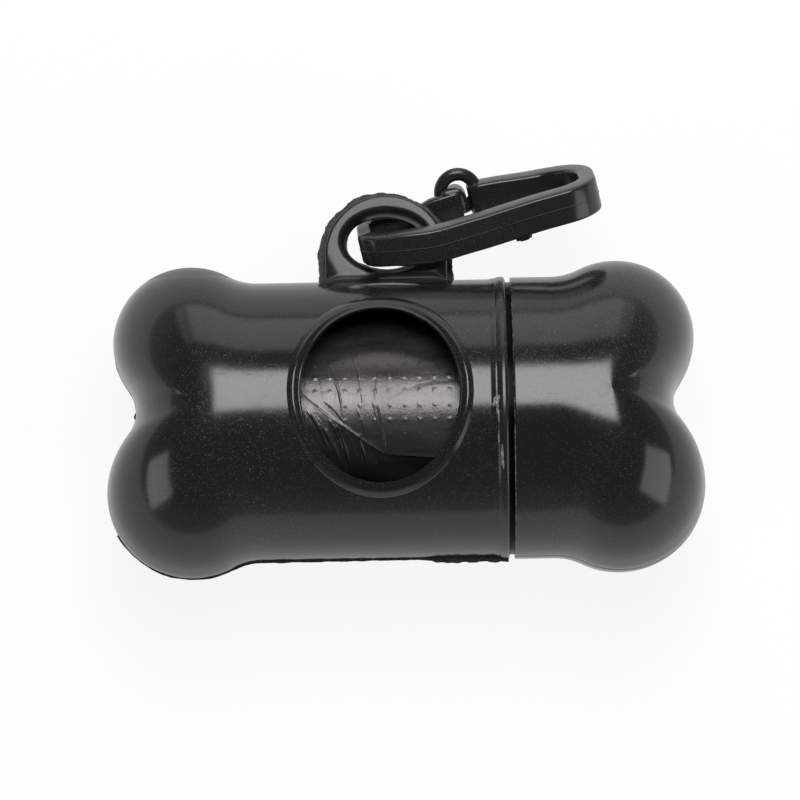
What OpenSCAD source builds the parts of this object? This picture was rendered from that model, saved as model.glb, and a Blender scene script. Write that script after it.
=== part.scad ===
// Bone-shaped dispenser for a roll of small bags, lying on its back, with its cap on.
// X runs along the bone towards the cap, Y towards the lug and Z up through the window.
// The bone and the cap are each glued from a front and a rear half along the mid-plane.
// All modules draw round the bone's axis; in_row() then stands the whole on z = 0.

/* [Bone outline] */
// Radius of the body's round neck
neck_r = 19.9; // [19.6:0.1:20.6]
// Radius of the cap's round neck
cap_r = 20.1; // [19.6:0.1:20.6]
// Distance of the lobes' centres from the middle of the bone
lobe_x = 30.4; // [29.5:0.1:32]
// Radius of the lobes on the lug's side
upper_lobe_r = 11.1; // [10.6:0.1:11.8]
// Distance of those lobes' centres from the axis
upper_lobe_y = 11.4; // [11:0.1:12]
// Radius of the lobes on the far side
lower_lobe_r = 12.2; // [11.4:0.1:12.6]
// Distance of those lobes' centres from the axis
lower_lobe_y = 10.1; // [9.8:0.1:11]
// Radius that blends the neck into a lobe
blend_r = 8.6; // [7:0.1:9.5]
// Radius of the notch between two lobes
notch_r = 5.9; // [4:0.1:7]
// Place of the hub that the end's cross-sections fan out from
hub_x = 28; // [27:0.1:28.4]
// Wall thickness of the shells
wall = 1.8; // [1.4:0.1:2.2]

/* [Seam between body and cap] */
// Where the body's shells end
body_end_x = 13.1; // [12:0.1:14]
// Width of the collar's raised lip
lip_w = 1.5; // [1:0.1:2]
// How far the lip stands above the neck
lip_rise = 0.35; // [0:0.05:0.6]
// Width of the gap between the lip and the cap
seam_gap = 0.7; // [0.4:0.1:1]
// Outer radius of the spigot that the cap runs on
spigot_r = 17; // [16.8:0.1:17.2]
// Length of the spigot beyond the lip
spigot_len = 7.4; // [5:0.1:9]
// Radius of the collar's bore, which the roll passes through
collar_bore_r = 15.8; // [15.6:0.1:16]
// Radial clearance of the cap's socket on the spigot
fit = 0.05; // [0.03:0.01:0.1]
// Angle that the cap stands turned on the collar
cap_rest_turn = 3.5; // [0:0.5:6]

/* [Window] */
// Place of the window's middle along the bone
window_x = -3.4; // [-5:0.1:-2]
// Distance of the window's middle from the mid-line, towards the lug
window_y = 1.3; // [0:0.1:2]
// Width of the opening
window_w = 22.3; // [18:0.1:24]
// Height of the opening
window_h = 25.2; // [20:0.1:27]
// Width of the raised rim
rim_w = 1.95; // [1.5:0.05:2.5]
// How far the rim stands above the neck
rim_rise = 0.5; // [0.2:0.1:1]

/* [Lug] */
// Place of the lug along the bone
lug_x = -2.3; // [-4:0.1:0]
// Radius of the lug's arch
lug_r = 8.7; // [8:0.1:9.5]
// Height of the arch's centre above the axis
lug_y = 23.6; // [23:0.1:25]
// Thickness of each half of the lug
lug_half_t = 2.5; // [2:0.1:3]
// Height of the eye's centre above the axis
eye_y = 25.7; // [25.2:0.1:26]
// Width of the eye
eye_w = 13.4; // [13:0.1:14]
// Height of the eye
eye_h = 9.6; // [9.4:0.1:9.8]
// How far the moulding flash stands out round the lug
flash_w = 0.9; // [0.3:0.1:1.2]
// Thickness of the flash
flash_t = 0.35; // [0.2:0.05:0.5]

/* [Bag roll] */
// Radius of the wound roll
roll_r = 14.8; // [12:0.1:14.8]
// Length of the wound roll
roll_len = 57; // [50:0.5:58]
// How far the roll lies below the bone's axis
roll_drop = 0.7; // [0.2:0.1:0.8]
// Outer radius of the tube that the bags are wound on
core_r = 7.5; // [6:0.1:9]
// Wall thickness of that tube
core_wall = 1; // [0.6:0.1:1.5]
// Thickness of the loose leading bag
tail_t = 0.4; // [0.3:0.1:0.5]

/* [Clip] */
// Width of the clip's band
band_w = 4.9; // [4.6:0.1:5]
// Width of the band where it passes through the eye
eye_band_w = 3.4; // [3:0.1:3.6]
// Thickness of the clip's runs
run_t = 3.3; // [3:0.1:3.6]
// Reach of the loop to the left of the eye's centre
loop_left = 3.6; // [3.2:0.1:3.7]
// Reach of the loop to the right of the eye's centre
loop_right = 31.6; // [28:0.1:34]
// Reach of the loop in front of the eye's centre
loop_front = 8.6; // [8:0.1:9]
// Reach of the loop behind the eye's centre
loop_back = 8.9; // [8.8:0.1:9.2]
// Turn of the loop about its long axis
loop_tilt = -64; // [-66:1:-62]
// Rise of the loop's long axis towards the lug's side
loop_rise = 12.25; // [11:0.25:14]
// How far the loop sits along its band's width, towards the eye's outer edge
loop_shift = 0.5; // [0:0.1:1.2]
// Outer radius of the ring on the gate
ring_r = 3.5; // [3.3:0.1:3.6]
// Radius of the ring's round section
ring_tube_r = 0.7; // [0.6:0.05:0.75]

/* [Hidden] */

$fn = 96;
black = [0.07, 0.07, 0.075];
black_rear = [0.11, 0.105, 0.10];
film_grey = [0.22, 0.21, 0.20];
cardboard = [0.62, 0.50, 0.36];

lip_end_x = body_end_x + lip_w;
cap_start_x = lip_end_x + seam_gap;
// An end starts here, just short of the blends, tucked this deep into the neck's wall
straight_x = 20.5;
tuck = 0.1;
// The neck's tube runs on to here, under the blends
tube_end_x = straight_x + 2.6;
// Ribs along the blend, round the end, and points along each rib
blend_ribs = 6;
lobe_ribs = 12;
notch_ribs = 8;
rib_points = 12;
// Fullness of the cross-sections: 2 is an ellipse, more is squarer
neck_power = 2;
hub_power = 2.3;
end_power = 2.5;
// Half-thickness at the hubs, a little more than the necks have, so that it rests there
hub_depth = 20.3;
// The row's middle along Y, from the lower lobes to the clip's top
row_middle_y = 7.42;
// The hubs' half-thickness, with the little that the turned cap reaches lower
rest_height = hub_depth + 0.047;

// ---- outline of one end of the bone, for x > 0 ----

function side_lobe_r(side) = side > 0 ? upper_lobe_r : lower_lobe_r;
function side_lobe_y(side) = side > 0 ? upper_lobe_y : lower_lobe_y;

// Centre of the circle that blends the neck into a lobe
function blend_x(side, r) =
    lobe_x - sqrt(pow(side_lobe_r(side) + blend_r, 2) - pow(r + blend_r - side_lobe_y(side), 2));

// Where the blend touches the lobe
function touch_x(side, r) =
    let (share = blend_r / (blend_r + side_lobe_r(side)))
    blend_x(side, r) + share * (lobe_x - blend_x(side, r));

// Half-width of the outline at x, between the neck and the hub
function reach(x, side, r) =
    x <= blend_x(side, r) ? r :
    x <= touch_x(side, r) ? r + blend_r - sqrt(pow(blend_r, 2) - pow(x - blend_x(side, r), 2)) :
    side_lobe_y(side) + sqrt(pow(side_lobe_r(side), 2) - pow(x - lobe_x, 2));

// How far the section has changed from the neck's to the hub's at x, from 0 to 1
function swell(x) =
    let (share = (x - straight_x) / (hub_x - straight_x))
    pow(share, 2) * (3 - 2 * share);

// Half-thickness of the bone at x
function depth(x, r) = r + (hub_depth - r) * swell(x);

// Centre of the notch's circle, which touches both lobes from outside
lobe_gap = upper_lobe_y + lower_lobe_y;
notch_drop = (pow(lobe_gap, 2) + pow(upper_lobe_r + notch_r, 2) - pow(lower_lobe_r + notch_r, 2))
    / (2 * lobe_gap);
notch_c = [lobe_x + sqrt(pow(upper_lobe_r + notch_r, 2) - pow(notch_drop, 2)),
           upper_lobe_y - notch_drop];

function lobe_c(side) = [lobe_x, side * side_lobe_y(side)];
function bearing(from, to) = atan2(to.y - from.y, to.x - from.x);
function arc(c, r, a0, a1, steps) =
    [for (i = [0 : steps]) let (a = a0 + (a1 - a0) * i / steps) c + r * [cos(a), sin(a)]];
function but_first(points) = [for (i = [1 : len(points) - 1]) points[i]];

// Outline beyond the hub: upper lobe, notch, lower lobe
upper_start = acos((hub_x - lobe_x) / upper_lobe_r);
lower_start = -acos((hub_x - lobe_x) / lower_lobe_r);
upper_touch = bearing(lobe_c(1), notch_c);
lower_touch = bearing(lobe_c(-1), notch_c);
end_outline = concat(
    but_first(arc(lobe_c(1), upper_lobe_r, upper_start, upper_touch, lobe_ribs)),
    but_first(arc(notch_c, notch_r, upper_touch + 180, lower_touch + 180, notch_ribs)),
    [for (p = arc(lobe_c(-1), lower_lobe_r, lower_touch, lower_start, lobe_ribs)) p]);

// A rib is [outline point, foot, height at the foot, power]
function neck_rib(k, side, r) =
    let (x = straight_x + (hub_x - straight_x) * k / blend_ribs,
         power = neck_power + (hub_power - neck_power) * swell(x),
         drop = k == 0 ? tuck : 0)
    [[x, side * (reach(x, side, r) - drop)], [x, 0], depth(x, r) - drop, power];
function end_rib(p, r) =
    let (hub = [hub_x, 0], outward = (p - hub) / norm(p - hub))
    [p, hub, depth(hub_x, r), hub_power + (end_power - hub_power) * pow(outward.x, 2)];
function end_ribs(r) = concat(
    [for (k = [0 : blend_ribs]) neck_rib(k, 1, r)],
    [for (i = [0 : len(end_outline) - 2]) end_rib(end_outline[i], r)],
    [for (k = [blend_ribs : -1 : 0]) neck_rib(k, -1, r)]);

// Point j of a rib, from the outline (0) to its foot (rib_points), a given depth inside
function rib_point(rib, j, inset) =
    let (a = 90 * j / rib_points,
         spoke = rib[0] - rib[1],
         inner = rib[1] + spoke * (1 - inset / norm(spoke)),
         flat = pow(cos(a), 2 / rib[3]),
         p = rib[1] + (inner - rib[1]) * flat)
    [p.x, p.y, (rib[2] - inset) * pow(sin(a), 2 / rib[3])];
function foot_point(rib, inset) = [rib[1].x, rib[1].y, rib[2] - inset];

// One end's front half-shell as a single closed body, for x > 0 and z > 0
module end_half_shell(r) {
    ribs = end_ribs(r);
    n = len(ribs);
    grid = n * rib_points;
    skin = grid + blend_ribs + 1;
    points = [for (inset = [0, wall - 2 * tuck])
        each concat(
            [for (rib = ribs, j = [0 : rib_points - 1]) rib_point(rib, j, inset)],
            [for (k = [0 : blend_ribs]) foot_point(ribs[k], inset)])];
    foot = function (i) grid + min(i, n - 1 - i, blend_ribs);
    id = function (i, j, s) s * skin + (j < rib_points ? i * rib_points + j : foot(i));
    skins = [for (s = [0, 1], i = [0 : n - 2], j = [0 : rib_points - 1])
        let (a = id(i, j, s), b = id(i + 1, j, s), c = id(i + 1, j + 1, s), d = id(i, j + 1, s))
        each concat([s == 0 ? [a, b, c] : [c, b, a]],
                    c == d ? [] : [s == 0 ? [a, c, d] : [d, c, a]])];
    parting = [for (i = [0 : n - 2])
        let (a = id(i, 0, 0), b = id(i, 0, 1), c = id(i + 1, 0, 1), d = id(i + 1, 0, 0))
        each [[a, b, c], [a, c, d]]];
    mouth = [for (e = [0, 1], j = [0 : rib_points - 1])
        let (i = e * (n - 1), a = id(i, j, 0), b = id(i, j + 1, 0),
             c = id(i, j + 1, 1), d = id(i, j, 1))
        each (e == 0 ? [[a, b, c], [a, c, d]] : [[c, b, a], [d, c, a]])];
    polyhedron(points = points, faces = concat(skins, parting, mouth));
}

// ---- shared shapes ----

// Stands the bone on z = 0, with the row's middle at y = 0
module in_row() translate([0, -row_middle_y, rest_height]) children();

// Turns a shape drawn round Z so that it runs along the bone, with its Y up
module along_bone() rotate([90, 0, 90]) children();

// Upper half of a tube along the bone
module half_tube(r, t, x0, x1)
    along_bone() translate([0, 0, x0]) rotate_extrude(angle = 180)
        translate([r - t, 0]) square([t, x1 - x0]);

// Ring along the bone, from an outline in radius and x
module turned(outline) along_bone() rotate_extrude() polygon(outline);

module ellipse(w, h) scale([w / h, 1]) circle(d = h);

// The lug's arch and its foot, which ends inside the neck's wall
module lug_outline(grow) {
    foot_y = neck_r - wall / 2;
    intersection() {
        translate([lug_x, lug_y]) circle(lug_r + grow);
        translate([lug_x - lug_r - grow, foot_y]) square(2 * (lug_r + grow));
    }
    translate([lug_x - lug_r - grow, foot_y]) square([2 * (lug_r + grow), lug_y - foot_y]);
}

module lug_half(grow, t, shrink_eye) linear_extrude(t) difference() {
    lug_outline(grow);
    translate([lug_x, eye_y]) ellipse(eye_w - 2 * shrink_eye, eye_h - 2 * shrink_eye);
}

module window_column(grow) translate([window_x, window_y, neck_r / 3])
    linear_extrude(neck_r) ellipse(window_w + 2 * grow, window_h + 2 * grow);

// Raised rim round the window, following the neck
module window_rim() intersection() {
    half_tube(neck_r + rim_rise, wall + rim_rise, -straight_x, body_end_x);
    window_column(rim_w);
}

// ---- body ----

module body_half_shell() {
    mirror([1, 0, 0]) end_half_shell(neck_r);
    half_tube(neck_r, wall, -tube_end_x, body_end_x);
}

module body_front_shell() color(black) in_row() difference() {
    union() {
        body_half_shell();
        window_rim();
        lug_half(0, lug_half_t, 0);
    }
    window_column(0);
}

module body_rear_shell() color(black_rear) in_row() mirror([0, 0, 1]) {
    body_half_shell();
    lug_half(0, lug_half_t, 0);
    lug_half(flash_w, flash_t, flash_w / 2);
    translate([-straight_x, -neck_r - flash_w, 0])
        cube([straight_x + body_end_x, wall / 2 + flash_w, flash_t]);
}

// Ring glued into the body's mouth: a lip beside the seam, a shoulder that fills the gap
// from inside, and a spigot for the cap
module neck_collar() color(black_rear) in_row() turned([
    [collar_bore_r, body_end_x - 4.5],
    [neck_r - wall, body_end_x - 4.5],
    [neck_r - wall, body_end_x],
    [neck_r + lip_rise, body_end_x],
    [neck_r + lip_rise, lip_end_x],
    [neck_r - 0.7, lip_end_x],
    [neck_r - 0.7, cap_start_x - 0.35],
    [spigot_r, cap_start_x - 0.35],
    [spigot_r, lip_end_x + spigot_len],
    [collar_bore_r, lip_end_x + spigot_len]]);

// ---- cap ----

module cap_half_shell() {
    end_half_shell(cap_r);
    half_tube(cap_r, wall, cap_start_x, tube_end_x);
}

module cap_front_shell() color(black) in_row() rotate([-cap_rest_turn, 0, 0]) cap_half_shell();

module cap_rear_shell() color(black_rear) in_row() rotate([-cap_rest_turn, 0, 0])
    mirror([0, 0, 1]) cap_half_shell();

// Socket ring in the cap that runs on the collar's spigot
module cap_sleeve() color(black_rear) in_row() turned([
    [spigot_r + fit, cap_start_x + 0.3],
    [cap_r - wall - fit, cap_start_x + 0.3],
    [cap_r - wall - fit, straight_x - 0.1],
    [spigot_r + fit, straight_x - 0.1]]);

// ---- roll ----

roll_x0 = -29.5;
module on_roll_axis() in_row() translate([roll_x0, 0, -roll_drop]) along_bone() children();

module tube(r, t, length) linear_extrude(length) difference() {
    circle(r);
    circle(r - t);
}

module roll_core() color(cardboard) on_roll_axis() translate([0, 0, -0.5])
    tube(core_r, core_wall, roll_len + 1);

module bag_roll() color(film_grey) on_roll_axis() tube(roll_r, roll_r - core_r, roll_len);

// Leading bag's loose end, lying round the roll's front inside the window
module bag_tail() color(film_grey) on_roll_axis() translate([0, 0, window_x - roll_x0 - 10.5])
    rotate([0, 0, 55]) rotate_extrude(angle = 75) translate([roll_r + 0.05, 0])
        square([tail_t, 21]);

// ---- clip ----

// The loop lies in its own plane: x along it, y towards the table, z across its band
module in_clip() in_row() translate([lug_x, eye_y, 0]) rotate([loop_tilt, -2, loop_rise])
    translate([0, 0, loop_shift]) children();

// Rectangle with a radius of its own at each corner, from lower left, anticlockwise
module rounded(x0, x1, y0, y1, radii) {
    corners = [[x0 + radii[0], y0 + radii[0]], [x1 - radii[1], y0 + radii[1]],
               [x1 - radii[2], y1 - radii[2]], [x0 + radii[3], y1 - radii[3]]];
    for (i = [0 : 3]) translate(corners[i]) circle(radii[i]);
    polygon([[corners[0].x, y0], [corners[1].x, y0], [x1, corners[1].y], [x1, corners[2].y],
             [corners[2].x, y1], [corners[3].x, y1], [x0, corners[3].y], [x0, corners[0].y]]);
}

turn_t = 2;
band_edge = 0.45;
gate_pivot = [22, loop_back - run_t / 2];
ring_c = [11, loop_back - 0.9, 1.9];
arm_y0 = 5.3;
arm_t = 1.7;
pivot_r = run_t / 2;

// Outline of the closed loop, drawn in by the band's rounded edge where inset > 0
module loop_outline(inset) difference() {
    rounded(-loop_left + inset, loop_right - inset, -loop_front + inset, loop_back - inset,
            [2, 5, 8.7, 2]);
    rounded(-loop_left + turn_t - inset, loop_right - 2.4 + inset,
            -loop_front + run_t - inset, loop_back - run_t + inset, [1.5, 3, 5.4, 1.2]);
}

// A band across z with its edges stepped in
module band(width) {
    translate([0, 0, -width / 2 + band_edge]) linear_extrude(width - 2 * band_edge) children(0);
    translate([0, 0, -width / 2]) linear_extrude(width) children(1);
}

module strap_outline(inset) {
    difference() {
        loop_outline(inset);
        translate([-loop_left - 1, arm_y0 - 2]) square([gate_pivot.x + loop_left + 1, 10]);
        translate(gate_pivot) circle(pivot_r + 0.1);
    }
    translate([-loop_left + inset, 0]) square([turn_t, arm_y0 + arm_t - inset]);
    translate([-loop_left + inset, arm_y0 + inset]) square([10, arm_t - 2 * inset]);
}

// The stretch of the band that passes through the eye
module eye_stretch() translate([-10, 0.3 - loop_front + run_t]) square([18, 20]);

module clip_strap() color(black) in_clip() {
    band(eye_band_w) {
        intersection() {
            strap_outline(0);
            eye_stretch();
        }
        intersection() {
            strap_outline(band_edge);
            eye_stretch();
        }
    }
    band(band_w) {
        difference() {
            strap_outline(0);
            eye_stretch();
        }
        difference() {
            strap_outline(band_edge);
            eye_stretch();
        }
    }
    hook();
}

// Block at the arm's end and the peg that goes through the gate's ring
module hook() {
    translate([6, arm_y0, -0.6]) cube([5.6, arm_t, 3.6]);
    translate([ring_c.x - 0.3, arm_y0 + arm_t / 2, ring_c.z - 0.4]) rotate([-90, 0, 0])
        cylinder(h = 4.4, r = 1);
}

module gate_outline(inset) {
    translate(gate_pivot) circle(pivot_r - inset);
    translate([ring_c.x + ring_r - 0.6, loop_back - run_t + inset])
        square([gate_pivot.x - ring_c.x - ring_r + 0.6, run_t - 2 * inset]);
}

module clip_gate() color(black) in_clip() {
    band(band_w) {
        gate_outline(0);
        gate_outline(band_edge);
    }
    translate(ring_c) rotate([-90, 0, 0]) rotate_extrude()
        translate([ring_r - ring_tube_r, 0]) circle(ring_tube_r);
}

body_front_shell();
body_rear_shell();
neck_collar();
cap_front_shell();
cap_rear_shell();
cap_sleeve();
roll_core();
bag_roll();
bag_tail();
clip_strap();
clip_gate();
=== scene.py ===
# The looks of a bone-shaped dispenser for small bags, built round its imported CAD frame.
# Shapes are drawn in millimetres round the bone's own axis, on the CAD's outline at a finer
# step, and then carried into the row frame by BONE, which comes from the frame.
import math

import bmesh
import bpy
import numpy as np
from mathutils import Matrix, Vector, noise


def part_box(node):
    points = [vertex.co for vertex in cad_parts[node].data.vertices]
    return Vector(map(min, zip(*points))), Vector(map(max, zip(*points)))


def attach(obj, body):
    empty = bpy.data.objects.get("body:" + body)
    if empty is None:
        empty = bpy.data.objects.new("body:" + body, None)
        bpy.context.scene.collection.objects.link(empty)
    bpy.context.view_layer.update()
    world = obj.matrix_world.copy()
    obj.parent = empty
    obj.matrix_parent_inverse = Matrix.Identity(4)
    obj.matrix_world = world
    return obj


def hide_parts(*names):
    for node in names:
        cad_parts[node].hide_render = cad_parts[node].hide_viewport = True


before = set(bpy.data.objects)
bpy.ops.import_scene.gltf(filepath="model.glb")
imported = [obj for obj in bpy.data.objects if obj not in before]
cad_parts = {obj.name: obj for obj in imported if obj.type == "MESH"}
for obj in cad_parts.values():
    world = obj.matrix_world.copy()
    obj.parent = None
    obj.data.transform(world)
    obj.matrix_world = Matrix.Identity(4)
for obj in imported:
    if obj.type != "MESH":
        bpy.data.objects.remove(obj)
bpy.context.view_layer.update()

# ---- sizes, in millimetres, as in the part; 1 is the side with the lug, -1 the other ----
NECK_R, CAP_R = 19.9, 20.1
LOBE_X = 30.4
LOBE_R = {1: 11.1, -1: 12.2}
LOBE_Y = {1: 11.4, -1: 10.1}
BLEND_R, NOTCH_R = 8.6, 5.9
HUB_X, STRAIGHT_X, HUB_DEPTH, WALL = 28.0, 20.5, 20.3, 1.8
BODY_END_X, LIP_W, LIP_RISE, CAP_START_X = 13.1, 1.5, 0.35, 15.3
CAP_TURN = math.radians(-3.5)
WINDOW_X, WINDOW_Y, WINDOW_W, WINDOW_H, RIM_W = -3.4, 1.3, 22.3, 25.2, 1.95
LUG_X, LUG_Y, LUG_R, LUG_T = -2.3, 23.6, 8.7, 2.5
EYE_Y, EYE_W, EYE_H = 25.7, 13.4, 9.6
CLIP_TURN = [math.radians(a) for a in (-64, -2, 12.25)]
CLIP_SHIFT = 0.5

# ---- the dressed ends, softer than the part's ----
# Powers of the sections, where 2 is an ellipse and more is fuller
NECK_POWER, END_POWER = 2.0, 2.3
HUB_POWER = {"case": {1: 1.97, -1: 2.0}, "cap": {1: 1.97, -1: 2.25}}
# The fall towards each tip: its rate, and how much later it starts on the lower lobe
FALL = {"case": (0.0085, 0.15), "cap": (0.0045, 0.5)}
FALL_START, FALL_DELAY = 21.5, 12
DIP_DEPTH, DIP_HALF_WIDTH, DIP_START, DIP_FULL = 0.35, 5.5, 26.0, 36.0
FLARE, EDGE_EASE, SEAM_GROOVE = 0.2, 0.07, 0.08
SMOOTH_PASSES = 24


def millimetres(node):
    """A node's corners at rest, in millimetres in the row frame."""
    low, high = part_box(node)
    return np.array(low) * 1000, np.array(high) * 1000


sleeve_low, sleeve_high = millimetres("cap_sleeve")
roll_low, roll_high = millimetres("bag_roll")
AXIS = (sleeve_low + sleeve_high) / 2
ROLL_R = (roll_high[1] - roll_low[1]) / 2
ROLL_X0, ROLL_X1 = roll_low[0], roll_high[0]
ROLL_DROP = AXIS[2] - (roll_low[2] + roll_high[2]) / 2
BONE = Matrix.Scale(0.001, 4) @ Matrix.Translation((0, AXIS[1], AXIS[2]))
CLIP = (BONE @ Matrix.Translation((LUG_X, EYE_Y, 0))
        @ Matrix.Rotation(CLIP_TURN[2], 4, "Z") @ Matrix.Rotation(CLIP_TURN[1], 4, "Y")
        @ Matrix.Rotation(CLIP_TURN[0], 4, "X") @ Matrix.Translation((0, 0, CLIP_SHIFT)))


# ---- mesh helpers ----

def show(name, data):
    """An object for a mesh, lamp or camera, linked to the scene."""
    made = bpy.data.objects.new(name, data)
    bpy.context.scene.collection.objects.link(made)
    return made


def facing(origin, x, y, z):
    """The placing of an object at a point, turned to three directions."""
    return Matrix.Translation(origin) @ Matrix((
        (x.x, y.x, z.x, 0), (x.y, y.y, z.y, 0), (x.z, y.z, z.z, 0), (0, 0, 0, 1)))


def add_piece(name, bm, material, body, replaces=(), place=BONE, sharp=38):
    """Closes a bmesh into a smooth-shaded piece in the row frame that rides on a body."""
    bmesh.ops.remove_doubles(bm, verts=bm.verts, dist=1e-4)
    bmesh.ops.recalc_face_normals(bm, faces=bm.faces)
    for face in bm.faces:
        face.smooth = True
    for edge in bm.edges:
        folded = len(edge.link_faces) == 2 and edge.calc_face_angle(0) > math.radians(sharp)
        edge.smooth = not folded
    mesh = bpy.data.meshes.new(name)
    bm.to_mesh(mesh)
    bm.free()
    mesh.transform(place)
    mesh.materials.append(material)
    piece = show(name, mesh)
    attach(piece, body)
    if replaces:
        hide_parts(*replaces)
    return piece


def add_grid(bm, grid, wrap=False):
    """Quads over a grid of points; a row may meet the first again."""
    rows = [[bm.verts.new(p) for p in row] for row in grid]
    if wrap:
        rows.append(rows[0])
    for a, b in zip(rows, rows[1:]):
        for i in range(len(a) - 1):
            bm.faces.new((a[i], a[i + 1], b[i + 1], b[i]))
    return rows


def close_ends(bm, rows):
    """Flat ends on a swept section."""
    for row in (rows[0], rows[-1]):
        if row[0].co == row[-1].co:
            row = row[:-1]
        bm.faces.new(row)


def wobble(*at):
    """Smooth noise between about -1 and 1, the same each run, kept off the noise's lattice."""
    x, y, z = at + (0.0,) * (3 - len(at))
    return noise.noise(Vector((x + 0.37, y + 0.61, z + 0.43)))


def ease(value, start, end):
    """0 before start, 1 after end, and smooth between them."""
    share = min(1, max(0, (value - start) / (end - start)))
    return share ** 2 * (3 - 2 * share)


# ---- outline and sections of an end of the bone ----

def blend_x(side, r):
    """Where the neck's straight edge starts to curve out to the lobe."""
    return LOBE_X - math.sqrt((LOBE_R[side] + BLEND_R) ** 2 - (r + BLEND_R - LOBE_Y[side]) ** 2)


def reach(x, side, r):
    """Half-width of the outline at x, between the neck and the hub."""
    start = blend_x(side, r)
    touch = start + BLEND_R / (BLEND_R + LOBE_R[side]) * (LOBE_X - start)
    if x <= start:
        return r
    if x <= touch:
        return r + BLEND_R - math.sqrt(BLEND_R ** 2 - (x - start) ** 2)
    return LOBE_Y[side] + math.sqrt(LOBE_R[side] ** 2 - (x - LOBE_X) ** 2)


def swell(x):
    """How far the section has changed from the neck's to the hub's at x, from 0 to 1."""
    return ease(x, STRAIGHT_X, HUB_X)


def depth(x, r):
    """Half-thickness at x."""
    return r + (HUB_DEPTH - r) * swell(x)


def sink(x, y, sag, lean):
    """How far the surface drops towards the tip: along the whole end, later on the lower
    lobe, and more by the notch."""
    middle = 0.3 + 0.15 * (x - 25.5)
    dip = DIP_DEPTH * ease(x, DIP_START, DIP_FULL) * math.exp(-((y - middle) / DIP_HALF_WIDTH) ** 2)
    later = lean * FALL_DELAY * ease(-y, -9, 12)
    return dip + sag * max(0, x - FALL_START - later) ** 2


def mouth_shape(x, mouth_x):
    """How far the surface stands out near the mouth: the case flares a little, edges ease."""
    flare = FLARE * max(0, 1 - (x - mouth_x)) if mouth_x < 0 else 0
    return flare - EDGE_EASE * (1 - ease(x, mouth_x, mouth_x + 0.12))


def arc(centre, r, a0, a1, steps):
    return [(centre[0] + r * math.cos(a), centre[1] + r * math.sin(a))
            for a in np.linspace(a0, a1, steps + 1)]


def end_outline():
    """Points round the end, beyond the hub: upper lobe, notch, lower lobe."""
    gap = LOBE_Y[1] + LOBE_Y[-1]
    drop = (gap ** 2 + (LOBE_R[1] + NOTCH_R) ** 2 - (LOBE_R[-1] + NOTCH_R) ** 2) / (2 * gap)
    notch = (LOBE_X + math.sqrt((LOBE_R[1] + NOTCH_R) ** 2 - drop ** 2), LOBE_Y[1] - drop)
    upper, lower = (LOBE_X, LOBE_Y[1]), (LOBE_X, -LOBE_Y[-1])
    start = [math.acos((HUB_X - LOBE_X) / LOBE_R[s]) for s in (1, -1)]
    touch = [math.atan2(notch[1] - c[1], notch[0] - c[0]) for c in (upper, lower)]
    return (arc(upper, LOBE_R[1], start[0], touch[0], 64)[1:]
            + arc(notch, NOTCH_R, touch[0] + math.pi, touch[1] + math.pi, 36)[1:]
            + arc(lower, LOBE_R[-1], touch[1], -start[1], 64)[1:-1])


def ribs(r, mouth_x):
    """Ribs as (outline point, foot, height, power), from the mouth round the end and back."""
    found = []
    hub_power = HUB_POWER["cap" if mouth_x > 0 else "case"]
    along = [mouth_x + step for step in (0, 0.04, 0.08, 0.12, 0.4, 0.7, 0.95, 1.05, 1.3)]
    along += list(np.linspace(mouth_x + 1.6, STRAIGHT_X, 40)[:-1])
    along += list(np.linspace(STRAIGHT_X, HUB_X, 36))
    for side in (1, -1):
        run = []
        for x in along:
            power = NECK_POWER + (hub_power[side] - NECK_POWER) * swell(x)
            out = mouth_shape(x, mouth_x)
            run.append(((x, side * (reach(x, side, r) + out)), (x, 0), depth(x, r) + out, power))
        found.append(run)
    fan = []
    for p in end_outline():
        spoke = np.subtract(p, (HUB_X, 0))
        outward = spoke[0] / np.hypot(*spoke)
        side_power = hub_power[1 if p[1] > 0 else -1]
        fan.append((p, (HUB_X, 0), HUB_DEPTH, side_power + (END_POWER - side_power) * outward ** 2))
    return found[0] + fan + found[1][::-1]


# Bearings up each rib, in degrees, closest by the parting edge
RISE = [0, 0.35, 0.9] + list(np.linspace(2, 90, 45))


def skin(rib_list, inset, fall, groove=0.0):
    """Grid of points over the ribs, a depth inside; the parting edge can be eased."""
    grid = []
    for (px, py), (fx, fy), height, power in rib_list:
        length = math.hypot(px - fx, py - fy)
        row = []
        for k, degrees in enumerate(RISE):
            a = math.radians(degrees)
            deep = inset + groove * (1, 0.25, 0)[min(k, 2)]
            flat = (1 - deep / length) * math.cos(a) ** (2 / power) if degrees < 90 else 0
            x, y = fx + (px - fx) * flat, fy + (py - fy) * flat
            rise = math.sin(a) ** (2 / power)
            row.append((x, y, (height - deep - sink(x, y, *fall)) * rise))
        grid.append(row)
    return grid


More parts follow.
